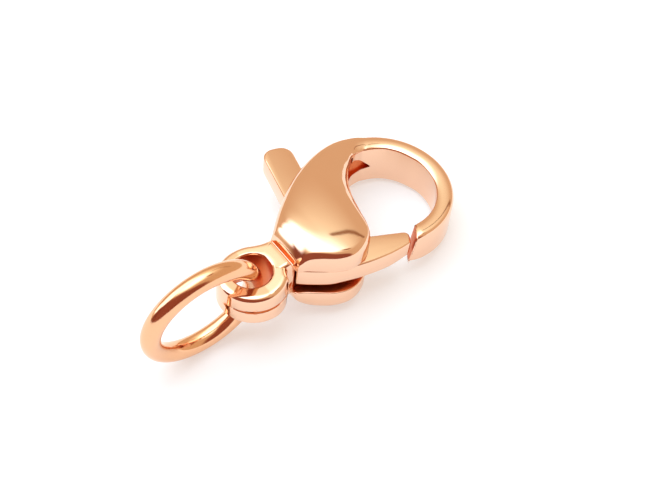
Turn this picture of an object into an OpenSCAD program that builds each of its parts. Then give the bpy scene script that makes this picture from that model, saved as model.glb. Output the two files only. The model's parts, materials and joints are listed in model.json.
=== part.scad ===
// Lobster clasp with a jump ring through its eye, closed and lying on one of its domed faces.
// Lengths are in millimetres. The clasp is drawn level, its hook centred on the origin and
// its middle plane at height 0, and is then laid down as it rests: belly and hook touch the
// surface, and the eye end is lifted. X runs from the eye to the hook, Y from the gate's side
// to the thumb tab's side, and the origin is on the surface under the middle of the whole.

/* [Hook] */
// Outer radius of the hook
hook_r = 3.16; // [3:0.01:3.4]
// Width of the hook across its band
hook_w = 0.75; // [0.6:0.01:0.95]
// Thickness of the hook's edges where it leaves the shells
hook_t = 1.96; // [1.7:0.01:2.1]
// Thickness of the hook's edges at its tip
tip_t = 1.46; // [1.3:0.01:1.6]
// Crown of the hook above its edges, on each face
hook_crown = 0.08; // [0.02:0.01:0.14]
// Angle of the tip's outer corner, past the near side
tip_outer = 10.5; // [7:0.5:14]
// Angle of the tip's inner corner, past the near side
tip_inner = 4; // [2:0.5:6]

/* [Shells] */
// Length from the hook's centre to the neck groove
shell_len = 5.89; // [5.6:0.01:6.4]
// Reach of the shells from the hook's centre line to the near side
near_w = 3.04; // [2.9:0.01:3.12]
// Thickness across both shells at their edges
shell_t = 2.56; // [2.4:0.01:2.9]
// Rise of each dome above the shells' edges
dome_rise = 0.66; // [0.4:0.01:0.8]

/* [Slot and pivot] */
// Height of the slot between the shells
slot_t = 1.32; // [1.24:0.01:1.4]
// Distance of the pivot from the hook's centre, along the clasp
pivot_along = 3.77; // [3.7:0.01:3.85]
// Distance of the pivot from the hook's centre line, towards the near side
pivot_aside = 0.9; // [0.8:0.01:1]
// Diameter of the pivot pin
pin_d = 0.9; // [0.7:0.01:1.1]
// Length of the pivot pin
pin_len = 2.9; // [2.5:0.01:3]
// Gap all round the pin in the shells
pin_seat_gap = 0.01; // [0.01:0.01:0.03]
// Wall left between the throat's pocket and the hook's outer edge
spine_w = 0.85; // [0.7:0.01:0.95]
// Length of the throat's pocket past the hook's centre
pocket_len = 1.3; // [1:0.05:1.5]
// Room beside the thumb tab, on the hook's side
tab_room = 1.25; // [0.9:0.05:1.4]

/* [Lever] */
// Thickness of the lever
lever_t = 0.9; // [0.8:0.01:0.94]
// Gap between the lever and the upper shell
lever_gap = 0.09; // [0.05:0.01:0.12]
// Gap all round the pin in the lever
lever_bore_gap = 0.04; // [0.02:0.01:0.08]
// Radius of the lever's round boss
boss_r = 1.72; // [1.6:0.01:1.78]
// Gap between the boss and the end of the slot
boss_gap = 0.08; // [0.05:0.01:0.15]
// How far the lever's near side stays inside the shells' edge
lever_inset = 0.24; // [0.2:0.01:0.3]
// Gap between the gate and the hook's tip
gate_gap = 0.12; // [0.08:0.01:0.2]
// How far the gate's near side stays inside the hook's outer edge
gate_inset = 0.02; // [0:0.01:0.1]
// Length over which the gate's near side swells outwards from the boss
gate_swell = 2.1; // [1.8:0.05:2.3]
// Distance past the pivot at which the gate reaches its full width
gate_root = 1.9; // [1.7:0.05:2.1]
// Width of the gate at its tip
gate_tip_w = 0.66; // [0.55:0.01:0.72]
// Width of the gate where it leaves the shells
gate_root_w = 1.17; // [1:0.01:1.4]
// Thickness taken off under the gate at its tip
gate_thin = 0.14; // [0:0.01:0.25]
// Width of the thumb tab
tab_w = 1.4; // [1.3:0.01:1.6]
// Length of the thumb tab, from the pivot to its round end
tab_len = 5.78; // [5.4:0.01:6.2]
// Lean of the thumb tab towards the hook, in degrees
tab_lean = 13; // [10:0.5:18]

/* [Return spring] */
// Diameter of the spring's wire
spring_wire = 0.2; // [0.16:0.01:0.22]
// Diameter of the spring's coil, to the middle of its wire
spring_d = 1.24; // [1.2:0.01:1.6]
// Length of each of the spring's legs
spring_leg = 0.9; // [0.6:0.05:1]

/* [Eye] */
// Outer radius of the eye
eye_r = 1.5; // [1.42:0.01:1.6]
// Radius of the eye's hole
eye_hole_r = 0.88; // [0.84:0.01:0.95]
// How far the hole lies off the eye's centre, towards the thumb tab's side
hole_aside = 0.1; // [0:0.01:0.15]
// Distance from the neck groove to the eye's centre
eye_along = 1.62; // [1.5:0.01:1.7]
// Distance of the eye's centre from the hook's centre line, towards the near side
eye_aside = 1.17; // [1:0.01:1.2]
// Distance of the neck's middle from the hook's centre line, towards the near side
neck_aside = 1.02; // [0.95:0.01:1.08]
// Thickness of the eye at its free end
eye_t = 1.5; // [1.4:0.01:1.6]
// Thickness of the eye at the middle of its hole
eye_mid_t = 1.64; // [1.5:0.01:1.7]
// Thickness of the eye at the ridge beside the neck groove
ridge_t = 2.04; // [1.95:0.01:2.2]
// Thickness of the neck at the bottom of its groove
groove_t = 1.7; // [1.6:0.01:1.8]
// Width of the neck groove
groove_w = 0.18; // [0.12:0.01:0.3]
// Width of the neck
neck_w = 1.86; // [1.75:0.01:1.95]
// Bevel round the edges of the eye
eye_bevel = 0.16; // [0.05:0.01:0.2]

/* [Jump ring] */
// Outer diameter of the jump ring
ring_d = 5.8; // [5.6:0.01:6.2]
// Diameter of the jump ring's wire
wire_d = 0.86; // [0.8:0.01:0.9]
// Lean of the jump ring from upright, its top towards the near side
ring_lean = 9; // [6:0.5:11]
// Gap between the ring's wire and the end wall of the eye's hole, at middle height
ring_gap = 0.47; // [0.4:0.01:0.55]
// Distance of the ring's middle from the eye's middle, towards the near side
ring_aside = 0.05; // [0:0.01:0.1]

/* [Hidden] */
$fn = 64;
metal = "#e3a07a";
hook_in = hook_r - hook_w;
pivot = [-pivot_along, -pivot_aside];
shell_r = near_w - pivot_aside;
neck_x = -shell_len;
eye_x = neck_x - eye_along;
lever_top = slot_t / 2 - lever_gap;
lever_bottom = lever_top - lever_t;
beyond = 10;

// How far the neck is sunk into the shells
neck_sunk = 0.35;

// Ends of the round wall behind the boss, in degrees from the clasp's length, and the
// directions in which the slot opens from there to the near side and to the far side
seat_near = 26;
seat_far = 30;
flare_near = 42;
flare_far = 45;

// How far the slot runs past the pivot on the near side
slot_reach = 2.4;

// Degrees between the lever's back and the end of the round wall
back_gap = 3;

// Sections of the shells, from the neck to the throat
// Columns: outer point along and across, inner point along and across, edge, rise
// Along: shares of shell_len. Outer across: of hook_r. Inner across: of near_w.
// Edge: shares of the way from groove_t to shell_t. Rise: shares of dome_rise.
SHELL = [
    [1.000, -0.016, 1.000, -0.641, 0.00, 0.00],
    [0.979,  0.006, 0.981, -0.684, 0.35, 0.38],
    [0.932,  0.088, 0.932, -0.725, 0.76, 0.72],
    [0.854,  0.228, 0.860, -0.818, 0.98, 0.93],
    [0.743,  0.404, 0.743, -0.953, 1.00, 1.00],
    [0.615,  0.586, 0.615, -1.000, 1.00, 1.00],
    [0.495,  0.720, 0.495, -0.920, 1.00, 0.92],
    [0.385,  0.820, 0.404, -0.750, 0.99, 0.78],
    [0.283,  0.896, 0.355, -0.443, 0.94, 0.62],
    [0.181,  0.954, 0.311, -0.131, 0.87, 0.48],
    [0.079,  0.990, 0.249,  0.158, 0.76, 0.35],
    [-0.021, 1.000, 0.151,  0.428, 0.60, 0.24],
    [-0.128, 0.973, 0.020,  0.648, 0.45, 0.16]
];
shell_steps = 3;
hook_steps = 24;

// Angles at which the hook's round band starts, outside and inside
hook_from_out = 61;
hook_from_in = 70;

// Points across one face of a section, from the outer edge to the inner
face_n = 10;

function mix(a, b, t) = a + (b - a) * t;
function row_point(r) = [
    -r[0] * shell_len, r[1] * hook_r,
    -r[2] * shell_len, r[3] * near_w,
    mix(groove_t, shell_t, r[4]) / 2, max(r[5] * dome_rise, 0)
];
function hook_row(t) =
    let (
        a = mix(hook_from_out, -90 - tip_outer, t),
        b = mix(hook_from_in, -90 - tip_inner, t)
    )
    [
        hook_r * cos(a), hook_r * sin(a), hook_in * cos(b), hook_in * sin(b),
        mix(hook_t, tip_t, t) / 2, hook_crown
    ];

// Smooth curve through four rows
function smooth(p, q, r, s, t) =
    0.5 * (2 * q + (r - p) * t + (2 * p - 5 * q + 4 * r - s) * t * t
    + (3 * q - p - 3 * r + s) * t * t * t);

rows = [
    for (r = SHELL) row_point(r),
    for (i = [0:3]) hook_row(i / hook_steps)
];
last_row = len(SHELL);
sections = [
    for (i = [0:last_row - 1], k = [0:shell_steps - 1])
        smooth(rows[max(i - 1, 0)], rows[i], rows[i + 1], rows[i + 2], k / shell_steps),
    for (i = [0:hook_steps]) hook_row(i / hook_steps)
];

// Height of the dome over a section: 1 in the middle, 0 at both edges
function dome(t) = pow(1 - pow(abs(t), 2.2), 0.75);
function face_point(s, t, side) =
    let (k = (1 + t) / 2)
    [mix(s[0], s[2], k), mix(s[1], s[3], k), side * (s[4] + s[5] * dome(t))];
function face_share(i) = sin(90 * (2 * i / face_n - 1));
function loop_points(s) = concat(
    [for (i = [0:face_n]) face_point(s, face_share(i), 1)],
    [for (i = [face_n:-1:0]) face_point(s, face_share(i), -1)]
);
loop_n = 2 * (face_n + 1);

// Resting pose: the steepest line from the hook to the belly lies on the surface
shell_points = [
    for (i = [0:last_row * shell_steps - 1], k = [0:face_n])
        face_point(sections[i], face_share(k), 1)
];
hook_points = [
    for (i = [0:hook_steps], k = [0:face_n])
        face_point(hook_row(i / hook_steps), face_share(k), 1)
];
lie_pitch = min([
    for (h = hook_points)
        if (h.x > 0)
            max([for (p = shell_points) atan2(p.z - h.z, h.x - p.x)])
]);
lie_height = max([
    for (p = concat(shell_points, hook_points))
        p.z * cos(lie_pitch) + p.x * sin(lie_pitch)
]);

// Shells and hook in one sweep, with both ends closed
module shells_and_hook() {
    count = len(sections);
    points = [for (s = sections) each loop_points(s)];
    walls = [
        for (i = [0:count - 2], k = [0:loop_n - 1])
            let (
                a = i * loop_n + k,
                b = i * loop_n + (k + 1) % loop_n
            )
            each [[a, a + loop_n, b + loop_n], [a, b + loop_n, b]]
    ];
    end = (count - 1) * loop_n;
    caps = [
        for (k = [0:face_n - 1])
            let (
                top = [k, k + 1],
                under = [loop_n - 2 - k, loop_n - 1 - k]
            )
            each [
                [top[0], top[1], under[0], under[1]],
                [end + under[1], end + under[0], end + top[1], end + top[0]]
            ]
    ];
    polyhedron(points = points, faces = concat(walls, caps));
}

// Eye and neck, seen from the side: the faces rise to a ridge, then fall into the groove
module eye_side() {
    upper = [
        [-eye_r, eye_t / 2], [0, eye_mid_t / 2], [eye_along - groove_w, ridge_t / 2],
        [eye_along, groove_t / 2], [eye_along + neck_sunk, groove_t / 2]
    ];
    lower = [for (k = [len(upper) - 1:-1:0]) [upper[k].x, -upper[k].y]];
    polygon(concat(upper, lower));
}

// Round end of the eye, its outer edges bevelled
module eye_round() {
    half = ridge_t / 2;
    rotate_extrude()
        polygon([
            [0, -half], [eye_r - eye_bevel, -half], [eye_r - eye_bevel, -eye_t / 2],
            [eye_r, -eye_t / 2 + eye_bevel], [eye_r, eye_t / 2 - eye_bevel],
            [eye_r - eye_bevel, eye_t / 2], [eye_r - eye_bevel, half], [0, half]
        ]);
}

// Plan of the neck: straight sides, the near one meeting the eye at this angle of its round
neck_turn = 45;
module neck_plan() {
    far = eye_aside - neck_aside + neck_w / 2;
    near = far - neck_w;
    polygon([
        [0, far], [eye_along + neck_sunk, far], [eye_along + neck_sunk, near], [eye_along, near],
        eye_r * [cos(neck_turn), -sin(neck_turn)], [0, near]
    ]);
}

module eye_and_neck() {
    translate([eye_x, -eye_aside, 0])
        difference() {
            intersection() {
                rotate([90, 0, 0])
                    linear_extrude(3 * eye_r, center = true)
                        eye_side();
                union() {
                    eye_round();
                    linear_extrude(2 * ridge_t, center = true)
                        neck_plan();
                }
            }
            translate([0, hole_aside, 0])
                cylinder(h = 3 * ridge_t, r = eye_hole_r, center = true);
        }
}

// Plan of the slot: the boss's round seat, both open sides, and the pocket in the throat
module slot_plan() {
    seat = boss_r + boss_gap;
    near_end = pivot - seat * [cos(seat_near), sin(seat_near)];
    far_end = pivot - seat * [cos(seat_far), -sin(seat_far)];
    translate(pivot) {
        circle(r = seat);
        square([pivot_along + pocket_len, hook_r - spine_w + pivot_aside]);
    }
    polygon([
        near_end, near_end - beyond * [cos(flare_near), sin(flare_near)],
        [pivot.x + slot_reach, -beyond], [pivot.x + slot_reach, pivot.y], pivot
    ]);
    polygon([
        far_end, far_end - beyond * [cos(flare_far), -sin(flare_far)],
        [pivot.x + tab_w / 2 + tab_room, beyond], [pivot.x + tab_w / 2 + tab_room, pivot.y], pivot
    ]);
}

module body() {
    color(metal)
        lying()
            difference() {
                union() {
                    shells_and_hook();
                    eye_and_neck();
                }
                translate([0, 0, -slot_t / 2])
                    linear_extrude(slot_t)
                        slot_plan();
                translate(pivot)
                    cylinder(h = pin_len + 2 * pin_seat_gap, r = pin_d / 2 + pin_seat_gap, center = true);
            }
}

// Corners of the hook's end face, and the gate's end held clear of it
tip_out = hook_r * [cos(90 + tip_outer), -sin(90 + tip_outer)];
tip_in = hook_in * [cos(90 + tip_inner), -sin(90 + tip_inner)];
tip_dir = (tip_in - tip_out) / norm(tip_in - tip_out);
tip_normal = [-tip_dir.y, tip_dir.x];
gate_near = tip_out + tip_normal * gate_gap + tip_dir * gate_inset;
gate_far = gate_near + tip_dir * gate_tip_w;
near_r = shell_r - lever_inset;

// Near side of the lever: it leaves the round boss in this direction, in degrees from the
// clasp's length, and swells out to the gate's tip
near_turn = 105;
near_end = pivot + near_r * [cos(near_turn), -sin(near_turn)];
near_bend = near_end + gate_swell * [sin(near_turn), cos(near_turn)];
swell_steps = 8;
swell = [
    for (i = [0:swell_steps])
        let (t = i / swell_steps)
        mix(mix(near_end, near_bend, t), mix(near_bend, gate_near, t), t)
];

// How far past its root the gate's underside starts to rise
thin_from = 0.1;

// Plan of the lever: round boss, near side, thumb tab and gate
module lever_plan() {
    bar = tab_len - tab_w / 2;
    back = seat_near + back_gap;
    translate(pivot) {
        circle(r = boss_r);
        intersection() {
            circle(r = near_r);
            polygon([[0, 0], -beyond * [cos(back), sin(back)], [-beyond, -beyond], [0, -beyond]]);
        }
        rotate(-tab_lean) {
            translate([-tab_w / 2, 0])
                square([tab_w, bar]);
            translate([0, bar])
                circle(d = tab_w);
        }
    }
    polygon(concat(
        [pivot], swell, [gate_far, [pivot.x + gate_root, gate_near.y + gate_root_w]]
    ));
}

module lever() {
    root_x = pivot.x + gate_root + thin_from;
    rise = atan(gate_thin / (gate_near.x - root_x));
    color(metal)
        lying()
            difference() {
                translate([0, 0, lever_bottom])
                    linear_extrude(lever_t)
                        lever_plan();
                // Underside of the gate, which rises towards its tip
                translate([root_x, -beyond, lever_bottom])
                    rotate([0, -rise, 0])
                        translate([0, 0, -lever_t])
                            cube([beyond, beyond + pivot.y, lever_t]);
                translate([pivot.x, pivot.y, 0])
                    cylinder(h = 2 * slot_t, r = pin_d / 2 + lever_bore_gap, center = true);
            }
}

module pivot_pin() {
    color("#c99474")
        lying()
            translate([pivot.x, pivot.y, 0])
                cylinder(h = pin_len, d = pin_d, center = true);
}

// One open coil round the pin with two straight legs, in the gap under the lever
spring_turn = 250;
module return_spring() {
    color("silver")
        lying()
            translate([pivot.x, pivot.y, (lever_bottom - slot_t / 2) / 2]) {
                rotate_extrude(angle = spring_turn)
                    translate([spring_d / 2, 0])
                        circle(d = spring_wire);
                for (end = [[0, 90], [spring_turn, -90]])
                    rotate(end[0])
                        translate([spring_d / 2, 0, 0])
                            rotate([end[1], 0, 0])
                                cylinder(h = spring_leg, d = spring_wire);
            }
}

// The ring stands on the surface, threaded through the eye and leaning on its edge
ring_r = (ring_d - wire_d) / 2;
ring_x = (eye_x - eye_hole_r) * cos(lie_pitch) + ring_gap + wire_d / 2 - ring_r;
ring_y = -eye_aside - ring_aside;
module jump_ring() {
    color(metal)
        translate([ring_x + shift_x, ring_y + shift_y, ring_r * cos(ring_lean) + wire_d / 2])
            rotate([90 + ring_lean, 0, 0])
                rotate_extrude()
                    translate([ring_r, 0])
                        circle(d = wire_d);
}

// Half of what reaches past the hook's centre on each side, so that the origin is in the middle
hook_end = max([for (p = hook_points) p.x * cos(lie_pitch) + p.z * sin(lie_pitch)]);
ring_end = ring_x - ring_d / 2;
tab_end = (tab_len - tab_w / 2) * cos(tab_lean) + tab_w / 2 - pivot_aside;
shift_x = -(hook_end + ring_end) / 2;
shift_y = -(tab_end - hook_r) / 2;

module lying() {
    translate([shift_x, shift_y, lie_height])
        rotate([0, lie_pitch, 0])
            children();
}

body();
lever();
pivot_pin();
return_spring();
jump_ring();
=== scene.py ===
import json
import math

import bpy
import numpy as np
from mathutils import Matrix, Vector


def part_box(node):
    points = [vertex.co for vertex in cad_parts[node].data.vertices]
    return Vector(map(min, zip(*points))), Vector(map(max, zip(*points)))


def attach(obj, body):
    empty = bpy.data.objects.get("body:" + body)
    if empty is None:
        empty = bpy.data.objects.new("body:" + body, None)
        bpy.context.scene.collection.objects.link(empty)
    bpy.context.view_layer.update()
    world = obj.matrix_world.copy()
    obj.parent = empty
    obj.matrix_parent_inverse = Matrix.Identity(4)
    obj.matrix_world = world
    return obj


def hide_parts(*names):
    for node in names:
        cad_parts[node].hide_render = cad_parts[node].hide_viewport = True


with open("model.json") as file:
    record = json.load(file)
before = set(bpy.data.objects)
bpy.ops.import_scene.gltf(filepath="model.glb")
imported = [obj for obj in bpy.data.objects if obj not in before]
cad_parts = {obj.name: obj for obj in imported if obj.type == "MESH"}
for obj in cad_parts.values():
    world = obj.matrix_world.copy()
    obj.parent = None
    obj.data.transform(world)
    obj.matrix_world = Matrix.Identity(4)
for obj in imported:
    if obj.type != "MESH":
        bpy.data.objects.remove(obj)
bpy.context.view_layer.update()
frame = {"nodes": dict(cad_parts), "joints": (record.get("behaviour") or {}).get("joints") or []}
print("frame loaded:", ", ".join(sorted(frame["nodes"])))

millimetre = 0.001
hairline = 0.0005  # millimetres, what counts as nothing on the bench

# The clasp is modelled level on a bench, in millimetres, with the hook's centre at the origin, and
# is then laid down in metres as the frame's hinge says.
hinge = frame["joints"][0]
benchPivot = (-3.77, -0.9)
pitch = math.atan2(hinge["axis"][0], hinge["axis"][2])
benchTurn = Matrix.Rotation(pitch, 4, "Y")
benchToRow = (
    Matrix.Translation(hinge["pos_m"])
    @ benchTurn
    @ Matrix.Scale(millimetre, 4)
    @ Matrix.Translation((-benchPivot[0], -benchPivot[1], 0))
)


def clearSelection():
    if bpy.context.object and bpy.context.object.mode != "OBJECT":
        bpy.ops.object.mode_set(mode="OBJECT")
    for item in bpy.context.selected_objects:
        item.select_set(False)


def takeUp(piece):
    clearSelection()
    piece.select_set(True)
    bpy.context.view_layer.objects.active = piece


def newest(name):
    piece = bpy.context.object
    piece.name = name
    piece.data.name = name
    return piece


def editAll(piece):
    takeUp(piece)
    bpy.ops.object.mode_set(mode="EDIT")
    bpy.ops.mesh.select_all(action="SELECT")


def leaveEdit():
    bpy.ops.object.mode_set(mode="OBJECT")


def faceOutward(piece):
    editAll(piece)
    bpy.ops.mesh.normals_make_consistent(inside=False)
    leaveEdit()


def applyAll(piece):
    takeUp(piece)
    for modifier in list(piece.modifiers):
        bpy.ops.object.modifier_apply(modifier=modifier.name)


def carve(piece, tool, operation="DIFFERENCE"):
    modifier = piece.modifiers.new("carve", "BOOLEAN")
    modifier.operation = operation
    modifier.solver = "EXACT"
    modifier.object = tool
    applyAll(piece)
    bpy.data.objects.remove(tool)


def roundEdges(piece, width, segments, angle):
    modifier = piece.modifiers.new("edges", "BEVEL")
    modifier.width = width
    modifier.segments = segments
    modifier.limit_method = "ANGLE"
    modifier.angle_limit = math.radians(angle)
    modifier.use_clamp_overlap = False
    applyAll(piece)


def onCircle(radius, angle, centre=(0, 0)):
    turn = math.radians(angle)
    return (centre[0] + radius * math.cos(turn), centre[1] + radius * math.sin(turn))


def arc(radius, start, end, steps, centre=(0, 0)):
    angles = [start + (end - start) * step / steps for step in range(steps + 1)]
    return [onCircle(radius, angle, centre) for angle in angles]


# A curve from start to end that leaves and comes in towards the corner
def bend(start, corner, end, steps):
    start, corner, end = Vector(start), Vector(corner), Vector(end)
    shares = [step / steps for step in range(steps + 1)]
    return [start.lerp(corner, t).lerp(corner.lerp(end, t), t)[:] for t in shares]


def plate(name, outline, low, high):
    clearSelection()
    bpy.ops.mesh.primitive_circle_add(vertices=len(outline), radius=1, fill_type="NGON")
    piece = newest(name)
    for vertex, (x, y) in zip(piece.data.vertices, outline):
        vertex.co = (x, y, low)
    editAll(piece)
    bpy.ops.mesh.extrude_region_move(TRANSFORM_OT_translate={"value": (0, 0, high - low)})
    faceOutward(piece)
    return piece


def drum(name, radius, depth, centre, sides=160):
    clearSelection()
    bpy.ops.mesh.primitive_cylinder_add(
        vertices=sides, radius=radius, depth=depth, location=(*centre, 0),
    )
    piece = newest(name)
    bpy.ops.object.transform_apply(location=True, rotation=True, scale=True)
    return piece


# Rounds the edges between the polished faces and the rougher ones with painted shade
def roundCuts(piece, width, segments):
    sides = {}
    for face in piece.data.polygons:
        for key in face.edge_keys:
            sides.setdefault(key, set()).add(face.material_index)
    weights = piece.data.attributes.new("bevel_weight_edge", "FLOAT", "EDGE")
    for edge in piece.data.edges:
        weights.data[edge.index].value = 1 if len(sides[edge.key]) == 2 else 0
    modifier = piece.modifiers.new("cutEdges", "BEVEL")
    modifier.width = width
    modifier.segments = segments
    modifier.limit_method = "WEIGHT"
    modifier.use_clamp_overlap = False
    modifier.material = 0
    applyAll(piece)
    editAll(piece)
    bpy.ops.mesh.dissolve_degenerate(threshold=hairline)  # the rounding leaves a few flat slivers
    leaveEdit()


def layDown(piece, smoothAngle=32):
    piece.data.transform(benchToRow)
    takeUp(piece)
    bpy.ops.object.shade_smooth_by_angle(angle=math.radians(smoothAngle))


# Materials

# What all the metals share. Each has its own color, roughness, haze, grain and scale besides
finish = {
    "broadDetail": 3,  # of the noise behind the haze and the tone
    "fineDetail": 4,  # of the noise behind the grain
    "fineScale": 9,  # times the broad noise
    "tone": (0.96, 0.93, 0.9),  # where the broad noise is strongest
    "grainDepth": 0.00002,
}


def polishGroup():
    group = bpy.data.node_groups.new("polish", "ShaderNodeTree")
    for name, kind, value in (
        ("Base", "NodeSocketColor", (0.9, 0.6, 0.45, 1)),
        ("Rough", "NodeSocketFloat", 0.08),
        ("Haze", "NodeSocketFloat", 0.05),
        ("Grain", "NodeSocketFloat", 0.02),
        ("Scale", "NodeSocketFloat", 1000.0),
    ):
        socket = group.interface.new_socket(name=name, in_out="INPUT", socket_type=kind)
        socket.default_value = value
    for name, kind in (
        ("Color", "NodeSocketColor"),
        ("Roughness", "NodeSocketFloat"),
        ("Normal", "NodeSocketVector"),
    ):
        group.interface.new_socket(name=name, in_out="OUTPUT", socket_type=kind)
    nodes, links = group.nodes, group.links
    inputs = nodes.new("NodeGroupInput")
    outputs = nodes.new("NodeGroupOutput")
    place = nodes.new("ShaderNodeTexCoord")
    broad = nodes.new("ShaderNodeTexNoise")
    broad.inputs["Detail"].default_value = finish["broadDetail"]
    fine = nodes.new("ShaderNodeTexNoise")
    fine.inputs["Detail"].default_value = finish["fineDetail"]
    fineScale = nodes.new("ShaderNodeMath")
    fineScale.operation = "MULTIPLY"
    fineScale.inputs[1].default_value = finish["fineScale"]
    haze = nodes.new("ShaderNodeMath")
    haze.operation = "MULTIPLY"
    rough = nodes.new("ShaderNodeMath")
    rough.operation = "ADD"
    tone = nodes.new("ShaderNodeMix")
    tone.data_type = "RGBA"
    tone.blend_type = "MULTIPLY"
    tone.inputs[7].default_value = (*finish["tone"], 1)
    bump = nodes.new("ShaderNodeBump")
    bump.inputs["Distance"].default_value = finish["grainDepth"]
    for source, output, target, entry in (
        (place, "Object", broad, "Vector"),
        (place, "Object", fine, "Vector"),
        (inputs, "Scale", broad, "Scale"),
        (inputs, "Scale", fineScale, 0),
        (fineScale, 0, fine, "Scale"),
        (broad, "Fac", haze, 0),
        (inputs, "Haze", haze, 1),
        (haze, 0, rough, 0),
        (inputs, "Rough", rough, 1),
        (broad, "Fac", tone, 0),
        (inputs, "Base", tone, 6),
        (fine, "Fac", bump, "Height"),
        (inputs, "Grain", bump, "Strength"),
        (tone, 2, outputs, "Color"),
        (rough, 0, outputs, "Roughness"),
        (bump, "Normal", outputs, "Normal"),
    ):
        links.new(source.outputs[output], target.inputs[entry])
    return group


polish = polishGroup()


def metal(name, base, rough, haze, grain, scale):
    material = bpy.data.materials.new(name)
    material.use_nodes = True
    nodes, links = material.node_tree.nodes, material.node_tree.links
    shader = nodes["Principled BSDF"]
    shader.inputs["Metallic"].default_value = 1
    surface = nodes.new("ShaderNodeGroup")
    surface.node_tree = polish
    surface.inputs["Base"].default_value = (*base, 1)
    surface.inputs["Rough"].default_value = rough
    surface.inputs["Haze"].default_value = haze
    surface.inputs["Grain"].default_value = grain
    surface.inputs["Scale"].default_value = scale
    links.new(surface.outputs["Color"], shader.inputs["Base Color"])
    links.new(surface.outputs["Roughness"], shader.inputs["Roughness"])
    links.new(surface.outputs["Normal"], shader.inputs["Normal"])
    return material


roseGold = metal("roseGoldPolished", (0.94, 0.62, 0.44), 0.05, 0.05, 0.02, 500)
# The walls that no polish reaches: the slot, the pocket, the hole of the eye, the neck's groove,
# the seam and the hook's end face. They are rougher, and their deep red colour is painted shade of
# these recesses
roseGoldCutShade = metal("roseGoldCutShade", (0.74, 0.19, 0.06), 0.28, 0.1, 0.05, 900)
roseGoldWire = metal("roseGoldWire", (0.92, 0.54, 0.32), 0.08, 0.08, 0.08, 900)
springSteel = metal("springSteel", (0.55, 0.53, 0.52), 0.2, 0.1, 0.05, 900)


def dress(piece, material, second=None):
    piece.data.materials.clear()
    piece.data.materials.append(material)
    if second:
        piece.data.materials.append(second)


# Gives the walls that a cutter leaves behind the rougher unpolished material, whose deep red colour
# is painted shade
def lined(tool):
    dress(tool, roseGold, roseGoldCutShade)
    for face in tool.data.polygons:
        face.material_index = 1
    return tool


# Body: two domed shells and the hook, in one sweep from the neck to the hook's tip

body = {
    "hookRadius": 3.16,
    "hookWidth": 0.75,
    "hookHalf": 0.98,  # half the hook's thickness where it leaves the shells
    "tipHalf": 0.73,
    "hookRise": 0.08,
    "hookRoundOut": 0.14,
    "hookRoundIn": 0.06,
    "tipOuter": 10.5,  # degrees past the near side
    "tipInner": 4,
    "tipRound": 0.34,
    "tipFall": 0.12,  # how far the faces fall at the tip
    "fallFrom": -88,  # degrees on the hook's circle, as below
    "tipSpare": 0.13,  # length that the slanting end cut takes off
    "tipSlant": 9,
    "endBlock": (0.5, 1.6, 3),  # size of the block that makes the cut
    "throatFill": 0.12,  # how far the inner wall stands inside its circle next to the shells
    "throatFrom": 52,
    "creaseTurn": 22.2,  # where a low crease runs up the hook's inner wall
    "creaseRise": 0.03,
    "creaseSpread": 14,
    "shellLength": 5.89,
    "nearSide": 3.04,
    "shellHalf": 1.28,
    "grooveHalf": 0.85,
    "domeRise": 0.66,
    "domePower": 2.2,
    "rounding": 0.5,  # share of the rise that goes into the rounded edge
    "roundMost": 0.3,  # of the width there
    "roundRows": 7,
    "domeRows": 22,
    "columnsPerStation": 8,
    "hookStations": 24,
    "hookStartOut": 68,
    "hookStartIn": 78,
    "cornerStart": -91,  # the outer stations stand closer from here, beside the tip's round corner
    "cornerSteps": 6,
}

# Outer point along and across, inner point along and across, edge height, rise of the dome
shellStations = [
    (1.000, -0.016, 1.000, -0.641, 0.00, 0.03),
    (0.979, 0.006, 0.981, -0.684, 0.35, 0.38),
    (0.932, 0.088, 0.932, -0.725, 0.76, 0.72),
    (0.854, 0.228, 0.860, -0.818, 0.98, 0.93),
    (0.743, 0.404, 0.743, -0.953, 1.00, 1.00),
    (0.615, 0.586, 0.615, -1.000, 1.00, 1.00),
    (0.495, 0.720, 0.495, -0.920, 1.00, 0.92),
    (0.385, 0.820, 0.404, -0.750, 0.99, 0.78),
    (0.283, 0.896, 0.355, -0.443, 0.92, 0.64),
    (0.181, 0.954, 0.311, -0.131, 0.81, 0.52),
    (0.079, 0.990, 0.249, 0.158, 0.67, 0.41),
    (-0.021, 1.000, 0.151, 0.442, 0.44, 0.34),
    (-0.128, 0.973, 0.020, 0.692, 0.23, 0.27),
]


# Outer and inner corner of the hook's end, and the way from one to the other
def hookTip(longer=0):
    radius = body["hookRadius"]
    inner = radius - body["hookWidth"]
    tipOut = Vector(onCircle(radius, -90 - body["tipOuter"] - math.degrees(longer / radius)))
    tipIn = Vector(onCircle(inner, -90 - body["tipInner"] - math.degrees(longer / inner)))
    return tipOut, tipIn, (tipIn - tipOut).normalized()


# Inner points along the hook: on a circle, but for the throat, a low crease and the tip's corner
def hookInner():
    radius = body["hookRadius"] - body["hookWidth"]
    start, end, throat = body["hookStartIn"], -90 - body["tipInner"], body["throatFrom"]
    points = []
    for turn in np.linspace(start, end, body["hookStations"] + 1)[:-2]:
        nearness = max(0, 1 - abs(turn - body["creaseTurn"]) / body["creaseSpread"])
        fill = body["throatFill"] * max(0, turn - throat) / (start - throat)
        points.append(onCircle(radius - body["creaseRise"] * nearness - fill, turn))
    tipIn, tipWay = hookTip(body["tipSpare"])[1:]
    cornerFrom = end + math.degrees((body["tipRound"] - body["tipSpare"]) / radius)
    cornerEnd = tipIn - tipWay * body["tipRound"]
    return points + bend(onCircle(radius, cornerFrom), tipIn, cornerEnd, body["cornerSteps"])


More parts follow.
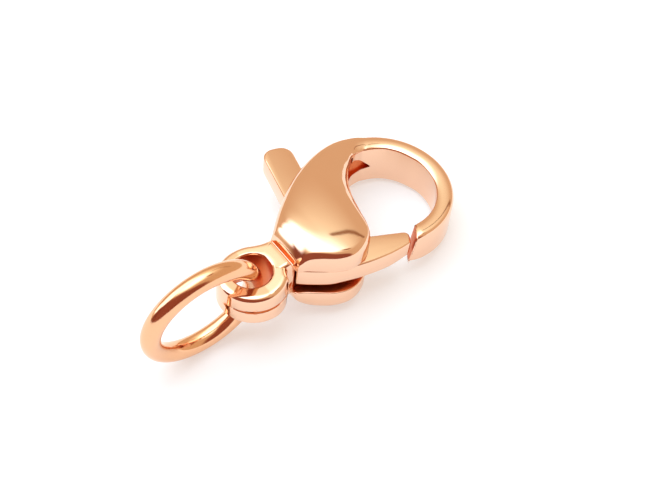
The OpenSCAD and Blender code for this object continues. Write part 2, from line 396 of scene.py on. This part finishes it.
# Outer point, inner point, height of the face's edges, rise of its dome, roundings out and in
def sweepStations():
    length, hookRadius, near = body["shellLength"], body["hookRadius"], body["nearSide"]
    stations = []
    for outAlong, outAcross, inAlong, inAcross, edge, rise in shellStations:
        wall = body["grooveHalf"] + (body["shellHalf"] - body["grooveHalf"]) * edge
        rounding = rise * body["domeRise"] * body["rounding"]
        stations.append(
            (
                -outAlong * length, outAcross * hookRadius, -inAlong * length, inAcross * near,
                wall + rounding, rise * body["domeRise"] - rounding, rounding, rounding,
            )
        )
    start = body["hookStartOut"]
    end = -90 - body["tipOuter"] - math.degrees(body["tipSpare"] / hookRadius)
    turns = [
        *np.linspace(start, end, body["hookStations"] + 1)[:-2],
        *np.linspace(body["cornerStart"], end, body["cornerSteps"] + 1),
    ]
    rest = (body["hookRise"], body["hookRoundOut"], body["hookRoundIn"])
    for turn, inner in zip(turns, hookInner()):
        share = (turn - start) / (end - start)
        fall = body["tipFall"] * max(0, (body["fallFrom"] - turn) / (body["fallFrom"] - end)) ** 2
        edge = body["hookHalf"] + (body["tipHalf"] - body["hookHalf"]) * share - fall
        stations.append((*onCircle(hookRadius, turn), *inner, edge, *rest))
    return np.array(stations)


# A smooth curve through all the stations
def alongSweep(stations, place):
    index = np.clip(np.floor(place).astype(int), 0, len(stations) - 2)
    t = (place - index)[:, None]
    before, here = stations[np.maximum(index - 1, 0)], stations[index]
    after, beyond = stations[index + 1], stations[np.minimum(index + 2, len(stations) - 1)]
    return 0.5 * (
        2 * here + (after - before) * t + (2 * before - 5 * here + 4 * after - beyond) * t * t
        + (3 * here - before - 3 * after + beyond) * t * t * t
    )


# Distance from the outer point at a row of the sheet, and how far the face has fallen there
def acrossSection(row, width, roundOut, roundIn):
    roundRows, domeRows = body["roundRows"], body["domeRows"]
    fromOut, fromIn = row, 2 * roundRows + domeRows - row
    outTurn = np.minimum(fromOut / roundRows, 1) * math.pi / 2
    inTurn = np.minimum(fromIn / roundRows, 1) * math.pi / 2
    middle = np.clip((row - roundRows) / domeRows, 0, 1) * (width - roundOut - roundIn)
    distance = roundOut * (1 - np.cos(outTurn)) + middle + roundIn * np.cos(inTurn)
    return distance, roundOut * (1 - np.sin(outTurn)) + roundIn * (1 - np.sin(inTurn))


# A block whose one side is the slanting end face of the hook
def endCutter():
    tipOut, tipIn, tipWay = hookTip()
    slant = math.radians(body["tipSlant"])
    side = Vector((-tipWay.y * math.cos(slant), tipWay.x * math.cos(slant), math.sin(slant)))
    along = Vector((*tipWay, 0))
    middle = Vector((*(tipOut + tipIn) / 2, 0)) + side * (body["endBlock"][0] / 2)
    clearSelection()
    bpy.ops.mesh.primitive_cube_add(size=1)
    cutter = newest("endCutter")
    turn = Matrix((side, along, side.cross(along))).transposed().to_4x4()
    stretch = Matrix.Diagonal((*body["endBlock"], 1))
    cutter.data.transform(Matrix.Translation(middle) @ turn @ stretch)
    return cutter


# A flat sheet is bent into the upper face, its rim drawn down to the seam, and the whole mirrored
def shellSweep():
    stations = sweepStations()
    columns = (len(stations) - 1) * body["columnsPerStation"]
    rows = 2 * body["roundRows"] + body["domeRows"]
    clearSelection()
    bpy.ops.mesh.primitive_grid_add(x_subdivisions=columns, y_subdivisions=rows, size=2)
    sheet = newest("claspBody")
    grid = np.array([vertex.co[:] for vertex in sheet.data.vertices])
    section = alongSweep(stations, (grid[:, 0] + 1) / 2 * (len(stations) - 1))
    outer, inner, edge, rise = section[:, :2], section[:, 2:4], section[:, 4], section[:, 5]
    width = np.linalg.norm(inner - outer, axis=1)
    roundOut, roundIn = np.minimum(section[:, 6:8].T, body["roundMost"] * width)
    row = np.rint((grid[:, 1] + 1) / 2 * rows)
    distance, fallen = acrossSection(row, width, roundOut, roundIn)
    share = (distance / width)[:, None]
    plan = outer * (1 - share) + inner * share
    height = edge + rise * (1 - np.abs(2 * share[:, 0] - 1) ** body["domePower"]) - fallen
    sheet.data.vertices.foreach_set("co", np.column_stack([plan, height]).ravel())
    editAll(sheet)
    bpy.ops.mesh.select_all(action="DESELECT")
    bpy.ops.mesh.select_mode(type="EDGE")
    bpy.ops.mesh.select_non_manifold(extend=False)
    bpy.ops.mesh.extrude_region_move(TRANSFORM_OT_translate={"value": (0, 0, -1)})
    bpy.ops.transform.resize(value=(1, 1, 0), center_override=(0, 0, 0))
    leaveEdit()
    mirror = sheet.modifiers.new("otherShell", "MIRROR")
    mirror.use_axis = (False, False, True)
    mirror.merge_threshold = hairline
    applyAll(sheet)
    dress(sheet, roseGold, roseGoldCutShade)
    # The slanting end face gets the rougher material with painted shade
    carve(sheet, lined(endCutter()))
    return sheet


# Eye and neck

eye = {
    "radius": 1.5,
    "roundFrom": 62,  # the outline is a circle from here
    "roundTo": 316,
    "roundSteps": 126,
    "hole": 0.88,
    "holeAside": 0.1,
    "aside": 1.17,
    "along": 1.62,  # from the shells' end to the eye's centre
    "neckHalf": 0.93,
    "neckAside": 1.02,
    "neckCut": 0.19,  # how far the near side of the neck stands back
    "nearBend": (1.19, 1.34, 1.48),  # along, where the near side bends and runs straight
    "farBend": (1.56, 1.16),  # the same on the far side, from the shells
    "sunk": 0.35,  # how far the neck reaches into the shells
    "sunkSteps": 8,
    "endHalf": 0.75,  # half the height at the free end, the middle and the ridge
    "middleHalf": 0.82,
    "ridgeHalf": 1.02,
    "groove": 0.18,  # how wide its slope is
    "grooveSoft": 0.012,
    "freeHalf": 1.4,  # clear above the faces
    "edge": 0.25,
    "edgeRows": 9,
    "faceShares": (0.17, 0.33, 0.5, 0.67, 0.83),
    "holeEdge": 0.09,
    "holeRows": 7,
    # The hole's wall and this share of its rounded edge get the rougher material with painted shade
    "holeShadeShare": 0.3,  # share of the hole's rounded edge that no polish reaches
    "seamMiddle": 256,
    "seamReach": 55,  # degrees to either side of its middle
    "seamDepth": 0.045,
    "seamKept": 0.8,  # how far from the eye's centre its cutter ends
}


def eyePlan():
    along, sunk, steps = eye["along"], eye["sunk"], eye["sunkSteps"]
    near = eye["aside"] - eye["neckAside"] - eye["neckHalf"] + eye["neckCut"]
    far = eye["aside"] - eye["neckAside"] + eye["neckHalf"]
    corner, straight, beside = eye["nearBend"]
    outline = arc(eye["radius"], eye["roundFrom"], eye["roundTo"], eye["roundSteps"])
    outline += bend(outline[-1], (corner, near), (straight, near), 8)[1:]
    outline += [(beside, near), (along, near), (along + sunk / 2, near)]
    outline += [(along + sunk, near + (far - near) * step / steps) for step in range(steps + 1)]
    outline += [(along + sunk / 2, far)]
    straight, corner = eye["farBend"]
    outline += bend((straight, far), (corner, far), outline[0], 12)[:-1]
    return np.array(outline)


# The eye as a ring of sections: outer wall, rounded edge, face, hole's rounded edge, hole's wall
def eyeRing(plan):
    edge, holeEdge = eye["edge"], eye["holeEdge"]
    way = plan / np.linalg.norm(plan, axis=1)[:, None]
    along = np.roll(plan, -1, axis=0) - np.roll(plan, 1, axis=0)
    normal = np.column_stack([along[:, 1], -along[:, 0]]) / np.linalg.norm(along, axis=1)[:, None]
    slant = np.maximum((normal * way).sum(axis=1), 0.5)[:, None]
    hole = way * eye["hole"] + (0, eye["holeAside"])
    rows = [(plan, None)]
    for turn in np.radians(np.linspace(0, 90, eye["edgeRows"])):
        inset, drop = 1 - math.cos(turn), 1 - math.sin(turn)
        rows.append((plan - way * edge * inset / slant, edge * drop))
    start, end = plan - way * edge / slant, hole + way * holeEdge
    for share in eye["faceShares"]:
        rows.append((start * (1 - share) + end * share, 0))
    for turn in np.radians(np.linspace(90, 0, eye["holeRows"])):
        inset, drop = 1 - math.cos(turn), 1 - math.sin(turn)
        rows.append((hole + way * holeEdge * inset, holeEdge * drop))
    rows.append((hole, None))
    stops = [-eye["radius"], 0, eye["along"] - eye["groove"]]
    halves = [eye["endHalf"], eye["middleHalf"], eye["ridgeHalf"]]
    upper = []
    for points, drop in rows:
        half = 0 * points[:, 0] if drop is None else np.interp(points[:, 0], stops, halves) - drop
        upper.append(np.column_stack([points, half]))
    lower = [points * (1, 1, -1) for points in upper[-2:0:-1]]
    return np.stack(upper + lower, axis=1)


# What the eye's block is kept inside of, so that its ridge falls to the groove in the neck
def grooveProfile():
    along, ridge, groove = eye["along"], eye["ridgeHalf"], body["grooveHalf"]
    start, free, soft = along - eye["groove"], eye["freeHalf"], eye["grooveSoft"]
    stops = [
        (-2, free), (start - 0.25, free),
        (start - 0.03, ridge + soft), (start + 0.03, ridge - 0.025),
        (along - 0.02, groove + soft), (along + 0.02, groove), (along + 0.6, groove),
    ]
    clearSelection()
    bpy.ops.mesh.primitive_plane_add(size=2, rotation=(0, math.pi / 2, 0))
    profile = newest("grooveProfile")
    bpy.ops.object.transform_apply(location=True, rotation=True, scale=True)
    for vertex in profile.data.vertices:
        aside, up = math.copysign(2.4, vertex.co.y), math.copysign(free, vertex.co.z)
        vertex.co = (stops[0][0], aside, up)
    editAll(profile)
    for (place, half), (nextPlace, nextHalf) in zip(stops, stops[1:]):
        step = (nextPlace - place, 0, 0)
        bpy.ops.mesh.extrude_region_move(TRANSFORM_OT_translate={"value": step})
        bpy.ops.transform.resize(value=(1, 1, nextHalf / half), center_override=(0, 0, 0))
    faceOutward(profile)
    return profile


# A thin ring round the eye, set off centre so that it sinks into the wall and runs out again
def seamCutter():
    depth, reach = eye["seamDepth"], math.radians(eye["seamReach"])
    shift = depth / (1 - math.cos(reach))
    way = Vector((*onCircle(1, eye["seamMiddle"]), 0))
    clearSelection()
    bpy.ops.mesh.primitive_torus_add(
        major_segments=200, minor_segments=10, location=way * -shift,
        major_radius=eye["radius"] + shift, minor_radius=depth,
    )
    cutter = newest("seamCutter")
    bpy.ops.object.transform_apply(location=True, rotation=True, scale=True)
    editAll(cutter)
    bpy.ops.mesh.bisect(
        plane_co=way * eye["seamKept"], plane_no=way, use_fill=True, clear_inner=True,
    )
    faceOutward(cutter)
    return cutter


def eyeBlock():
    sections = eyeRing(eyePlan())
    clearSelection()
    around, across = sections.shape[:2]
    bpy.ops.mesh.primitive_torus_add(major_segments=around, minor_segments=across)
    block = newest("eye")
    block.data.vertices.foreach_set("co", sections.ravel())
    block.data.update()
    dress(block, roseGold, roseGoldCutShade)
    holeCentre = Vector((0, eye["holeAside"]))
    # The faces in and round the hole get the rougher material, whose deep red is painted shade
    for face in block.data.polygons:
        if (face.center.xy - holeCentre).length < eye["hole"] + eye["holeShadeShare"] * eye["holeEdge"]:
            face.material_index = 1
    faceOutward(block)
    # The groove's slopes and the seam get the rougher material, whose deep red is painted shade
    carve(block, lined(grooveProfile()), "INTERSECT")
    carve(block, lined(seamCutter()))
    centre = (-body["shellLength"] - eye["along"], -eye["aside"], 0)
    block.data.transform(Matrix.Translation(centre))
    return block


# Slot between the shells, with the lever's round seat and the pocket in the throat

slot = {
    "half": 0.66,
    "seat": 1.8,
    "seatNear": 22,  # degrees from the neck's way, where the mouths leave the seat
    "seatFar": 30,
    "neckCorner": (-5.75, -1.74),  # where the near mouth comes out, beside the neck
    "neckWay": [(-5.89, -1.78), (-6.3, -2.2)],  # how it runs on, clear of the eye
    "neckEnd": -6.5,
    "flareFar": 45,
    "reach": 2.4,  # from the pivot to the near mouth's end towards the hook
    "tabSide": 1.95,  # the same for the far mouth
    "beyond": 10,  # well outside the body
    "pocketBack": 2.36,
    "edge": 0.045,
    "edgeSteps": 3,
}

# Corners of the pocket in the throat, along and upwards; it narrows towards the hook
pocketCorners = [
    (-2.4, 0.6), (-2.4, -0.6), (-0.6, -0.36), (0.3, -0.27), (1.0, -0.15),
    (1.0, -0.08), (0.8, 0.12), (0.45, 0.45), (0.1, 0.62),
]


def slotTools():
    x, y = benchPivot
    beyond = slot["beyond"]
    nearEnd = onCircle(slot["seat"], 180 + slot["seatNear"], benchPivot)
    farEnd = onCircle(slot["seat"], 180 - slot["seatFar"], benchPivot)
    near = [
        benchPivot, nearEnd, slot["neckCorner"], *slot["neckWay"], (slot["neckEnd"], -beyond),
        (x + slot["reach"], -beyond), (x + slot["reach"], y),
    ]
    far = [
        benchPivot, (x + slot["tabSide"], y), (x + slot["tabSide"], beyond),
        onCircle(beyond, 180 - slot["flareFar"], farEnd), farEnd,
    ]
    tools = [drum("seat", slot["seat"], 2 * slot["half"], benchPivot)]
    for name, outline in (("nearMouth", near), ("farMouth", far)):
        tools.append(plate(name, outline, -slot["half"], slot["half"]))
    return tools


def makeBody():
    piece = shellSweep()
    carve(piece, eyeBlock(), "UNION")
    # The walls of the slot and seat get the rougher material with painted shade
    for tool in slotTools():
        carve(piece, lined(tool))
    roundCuts(piece, slot["edge"], slot["edgeSteps"])
    pocket = plate("pocket", pocketCorners, -slot["pocketBack"], -benchPivot[1])
    pocket.data.transform(Matrix.Rotation(math.radians(90), 4, "X"))
    # The pocket's walls get the rougher material with painted shade
    carve(piece, lined(pocket))
    layDown(piece)
    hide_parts("body")
    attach(piece, "clasp")
    return piece


claspBody = makeBody()
print("body made:", len(claspBody.data.polygons), "faces")

# Lever: boss, thumb tab and gate in one flat plate

lever = {
    "top": 0.57,
    "thickness": 0.9,
    "boss": 1.72,
    "nearRadius": 1.9,  # the boss stands out further on its near side
    "nearTurn": 105,
    "swell": 2.1,  # from there to the corner of the bend to the gate
    "back": 24.6,
    "heel": 2.23,  # the corner that fills the slot's mouth beside the neck
    "heelTurn": 60,
    "heelBend": 0.8,  # from the boss to the corner of its bend
    "tabWidth": 1.4,
    "tabLength": 5.78,
    "tabLean": 13,
    "tabSquare": 0.8,  # 1 is a half round
    "gateRoot": 1.9,
    "gateRootWidth": 1.17,
    "gateTipWidth": 0.66,
    "gateGap": 0.12,
    "gateInset": 0.02,
    "gateRoundNear": 0.12,
    "gateRoundFar": 0.36,
    "gateThin": 0.14,  # how much thinner the gate is at its end
    "thinFrom": 0.1,
    "bore": 0.49,  # its radius
    "boreDepth": 3,
    "boreSides": 96,
    "edge": 0.1,
    "edgeSteps": 4,
    "edgeAngle": 50,
}


# Makes a half round a little squarer, as the tab's end is
def squared(share):
    return math.copysign(abs(share) ** lever["tabSquare"], share)


# The lever's outline, and where along the gate its thinning starts and ends
def leverOutline():
    tipOut, tipIn, tipWay = hookTip()
    tipNormal = Vector((-tipWay.y, tipWay.x))
    gateNear = tipOut + tipNormal * lever["gateGap"] + tipWay * lever["gateInset"]
    gateFar = gateNear + tipWay * lever["gateTipWidth"]
    pivot = Vector(benchPivot)
    root = Vector((pivot.x + lever["gateRoot"], gateNear.y + lever["gateRootWidth"]))
    half, boss, lean = lever["tabWidth"] / 2, lever["boss"], -lever["tabLean"]
    foot = math.degrees(math.acos(half / boss))
    leaning = Matrix.Rotation(math.radians(lean), 2)
    tabTop = leaning @ Vector((0, lever["tabLength"] - half))
    rootTurn = math.degrees(math.atan2(root.y - pivot.y, root.x - pivot.x))

    # The near side, from the heel round the boss and on to the gate
    heel = onCircle(lever["heel"], 180 + lever["back"], pivot)
    heelTurn, nearTurn = math.radians(lever["heelTurn"]), math.radians(lever["nearTurn"])
    outline = arc(lever["nearRadius"], 180 + lever["heelTurn"], 360 - lever["nearTurn"], 14, pivot)
    heelWay = Vector((-math.sin(heelTurn), math.cos(heelTurn)))
    heelCorner = Vector(outline[0]) + heelWay * lever["heelBend"]
    outline = bend(heel, heelCorner, outline[0], 8)[:-1] + outline
    swellWay = Vector((math.sin(nearTurn), math.cos(nearTurn)))
    swellCorner = Vector(outline[-1]) + lever["swell"] * swellWay
    outline += bend(outline[-1], swellCorner, gateNear, 12)[1:-1]

    # The gate's end with its two rounded corners
    nearWay = (gateNear - Vector(outline[-1])).normalized()
    farWay = (root - gateFar).normalized()
    roundNear, roundFar = lever["gateRoundNear"], lever["gateRoundFar"]
    outline += bend(gateNear - nearWay * roundNear, gateNear, gateNear + tipWay * roundNear, 4)
    outline += bend(gateFar - tipWay * roundFar, gateFar, gateFar + farWay * roundFar, 7)

    # Back along the far side: round the boss, the thumb tab, and the boss again
    outline += [root[:]]
    outline += arc(boss, rootTurn, foot + lean, 24, pivot)
    tabEnd = [Vector((half * squared(x), half * squared(y))) for x, y in arc(1, 0, 180, 32)]
    outline += [(pivot + tabTop + leaning @ point)[:] for point in tabEnd]
    outline += arc(boss, 180 - foot + lean, 180 + lever["back"], 36, pivot)
    return outline, root.x + lever["thinFrom"], gateNear.x


def makeLever():
    low = lever["top"] - lever["thickness"]
    outline, thinFrom, thinTo = leverOutline()
    piece = plate("leverArm", outline, low, lever["top"])
    editAll(piece)
    slope = lever["gateThin"] / (thinTo - thinFrom)
    bpy.ops.mesh.bisect(
        plane_co=(thinFrom, 0, low), plane_no=(-slope, 0, 1), use_fill=True, clear_inner=True,
    )
    faceOutward(piece)
    roundEdges(piece, lever["edge"], lever["edgeSteps"], lever["edgeAngle"])
    bore = drum("leverBore", lever["bore"], lever["boreDepth"], benchPivot, lever["boreSides"])
    carve(piece, bore)
    dress(piece, roseGold)
    layDown(piece)
    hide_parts("lever")
    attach(piece, "lever")
    return piece


leverArm = makeLever()
print("lever made:", len(leverArm.data.polygons), "faces")

# Jump ring: a round wire, spun round the ring's own axis

ring = {
    "outer": 5.8,
    "wire": 0.86,
    "lean": 9,
    "around": 240,
    "sides": 56,
    "weld": 1e-6,  # metres, where the spin's end meets its start
}


def makeRing():
    low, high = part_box("jump_ring")
    centre = (low + high) / 2
    radius = (ring["outer"] - ring["wire"]) / 2 * millimetre
    lean = math.radians(ring["lean"])
    axis = Vector((0, -math.cos(lean), -math.sin(lean)))
    clearSelection()
    bpy.ops.mesh.primitive_circle_add(
        vertices=ring["sides"], radius=ring["wire"] / 2 * millimetre,
        location=centre + Vector((radius, 0, 0)), rotation=(lean, 0, 0),
    )
    piece = newest("jumpRing")
    bpy.ops.object.transform_apply(location=True, rotation=True, scale=True)
    editAll(piece)
    bpy.ops.mesh.spin(steps=ring["around"], angle=2 * math.pi, center=centre, axis=axis)
    bpy.ops.mesh.select_all(action="SELECT")
    bpy.ops.mesh.remove_doubles(threshold=ring["weld"])
    faceOutward(piece)
    takeUp(piece)
    bpy.ops.object.shade_smooth()
    dress(piece, roseGoldWire)
    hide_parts("jump_ring")
    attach(piece, "clasp")
    return piece


jumpRing = makeRing()
print("ring made:", len(jumpRing.data.polygons), "faces")

# The pin and the spring keep the shapes that come with the frame
dress(frame["nodes"]["pivot_pin"], roseGold)
dress(frame["nodes"]["return_spring"], springSteel)

# Floor, light and camera

stage = {
    "floorSize": 1.2,
    "floorColor": (0.56, 0.58, 0.605),
    "floorRough": 0.7,
    "floorGlow": (0.47, 0.46, 0.45),  # its own light, so that it comes out nearly white
    "glowStrength": 1,
    "baseColor": (0.78, 0.575, 0.38),
    "strength": 1.0,
}

# Round lights and dark spots about the object, each over the ones before it. In degrees: azimuth
# from the front, elevation, reach of its middle and of the fade round it
studioCaps = [
    {"azimuth": 150, "elevation": 75, "reach": 20, "fade": 32, "color": (1.25, 1.25, 1.0)},
    {"azimuth": 170, "elevation": 84, "reach": 10, "fade": 28, "color": (3.2, 3.5, 3.8)},
    {"azimuth": -155, "elevation": 60, "reach": 14, "fade": 16, "color": (2.3, 2.5, 2.7)},
    {"azimuth": -85, "elevation": 15, "reach": 30, "fade": 12, "color": (0.27, 0.08, 0.05)},
    {"azimuth": -50, "elevation": 20, "reach": 34, "fade": 14, "color": (0.33, 0.10, 0.065)},
    {"azimuth": -12, "elevation": 15, "reach": 26, "fade": 12, "color": (0.31, 0.095, 0.06)},
    {"azimuth": -135, "elevation": 42, "reach": 17, "fade": 8, "color": (2.3, 2.5, 2.8)},
    {"azimuth": -132, "elevation": 18, "reach": 8, "fade": 6, "color": (2.3, 2.5, 2.8)},
    {"azimuth": 66, "elevation": 58, "reach": 4, "fade": 5, "color": (0.45, 0.24, 0.14)},
]

clearSelection()
bpy.ops.mesh.primitive_plane_add(size=stage["floorSize"], location=(0, 0, 0))
floor = newest("floor")
floorMaterial = bpy.data.materials.new("paleFloor")
floorMaterial.use_nodes = True
floorShader = floorMaterial.node_tree.nodes["Principled BSDF"]
floorShader.inputs["Base Color"].default_value = (*stage["floorColor"], 1)
floorShader.inputs["Roughness"].default_value = stage["floorRough"]
floorShader.inputs["Emission Color"].default_value = (*stage["floorGlow"], 1)
floorShader.inputs["Emission Strength"].default_value = stage["glowStrength"]
dress(floor, floorMaterial)


def outward(azimuth, elevation):
    turn, lift = math.radians(azimuth), math.radians(elevation)
    level = math.cos(lift)
    return Vector((math.sin(turn) * level, -math.cos(turn) * level, math.sin(lift)))


# The thin dark line on the dome, a row of small spots that follow a path over the sky
streak = {
    "path": [(118, 51), (115, 46.5), (112, 40.5), (108, 36), (105, 33.5), (101, 31), (90, 23)],
    "spacing": 1.6,
    "reach": 0.3,
    "fade": 1.9,
    "color": (0.33, 0.16, 0.08),
}
for start, end in zip(streak["path"], streak["path"][1:]):
    spots = math.ceil(math.degrees(outward(*start).angle(outward(*end))) / streak["spacing"])
    for step in range(spots):
        azimuth, elevation = Vector(start).lerp(Vector(end), step / spots)
        look = {key: streak[key] for key in ("reach", "fade", "color")}
        studioCaps.append({"azimuth": azimuth, "elevation": elevation, **look})


# 1 inside the spot, 0 outside it, and a soft edge between
def capMask(tree, direction, cap):
    dot = tree.nodes.new("ShaderNodeVectorMath")
    dot.operation = "DOT_PRODUCT"
    dot.inputs[1].default_value = outward(cap["azimuth"], cap["elevation"])
    tree.links.new(direction, dot.inputs[0])
    angle = tree.nodes.new("ShaderNodeMath")
    angle.operation = "ARCCOSINE"
    tree.links.new(dot.outputs["Value"], angle.inputs[0])
    ramp = tree.nodes.new("ShaderNodeMapRange")
    ramp.interpolation_type = "SMOOTHSTEP"
    ramp.inputs["From Min"].default_value = math.radians(cap["reach"])
    ramp.inputs["From Max"].default_value = math.radians(cap["reach"] + cap["fade"])
    ramp.inputs["To Min"].default_value = 1
    ramp.inputs["To Max"].default_value = 0
    tree.links.new(angle.outputs[0], ramp.inputs["Value"])
    return ramp.outputs["Result"]


def makeStudio():
    world = bpy.data.worlds.new("studio")
    bpy.context.scene.world = world
    world.use_nodes = True
    tree = world.node_tree
    place = tree.nodes.new("ShaderNodeTexCoord")
    color = None
    for cap in studioCaps:
        mix = tree.nodes.new("ShaderNodeMix")
        mix.data_type = "RGBA"
        mix.inputs[6].default_value = (*stage["baseColor"], 1)
        mix.inputs[7].default_value = (*cap["color"], 1)
        tree.links.new(capMask(tree, place.outputs["Generated"], cap), mix.inputs[0])
        if color:
            tree.links.new(color, mix.inputs[6])
        color = mix.outputs[2]
    background = tree.nodes["Background"]
    background.inputs["Strength"].default_value = stage["strength"]
    tree.links.new(color, background.inputs["Color"])


makeStudio()

# The camera too is placed on the bench, in millimetres
camera = {
    "aim": (-2.7598, 0.1301, -1.3005),
    "azimuth": -40,
    "elevation": 47,
    "roll": 6.59,
    "distance": 65.86,
    "lens": 83.08,
    "clip": (0.001, 10),  # metres
}


def makeCamera():
    back = outward(camera["azimuth"], camera["elevation"])
    data = bpy.data.cameras.new("camera")
    data.lens = camera["lens"]
    data.clip_start, data.clip_end = camera["clip"]
    holder = bpy.data.objects.new("camera", data)
    bpy.context.scene.collection.objects.link(holder)
    holder.location = benchToRow @ (Vector(camera["aim"]) + back * camera["distance"])
    roll = Matrix.Rotation(math.radians(camera["roll"]), 3, "Z").to_quaternion()
    look = (-back).to_track_quat("-Z", "Y") @ roll
    holder.rotation_mode = "QUATERNION"
    holder.rotation_quaternion = benchTurn.to_quaternion() @ look
    bpy.context.scene.camera = holder


makeCamera()
bpy.context.scene.view_settings.view_transform = "Standard"
print("stage set")
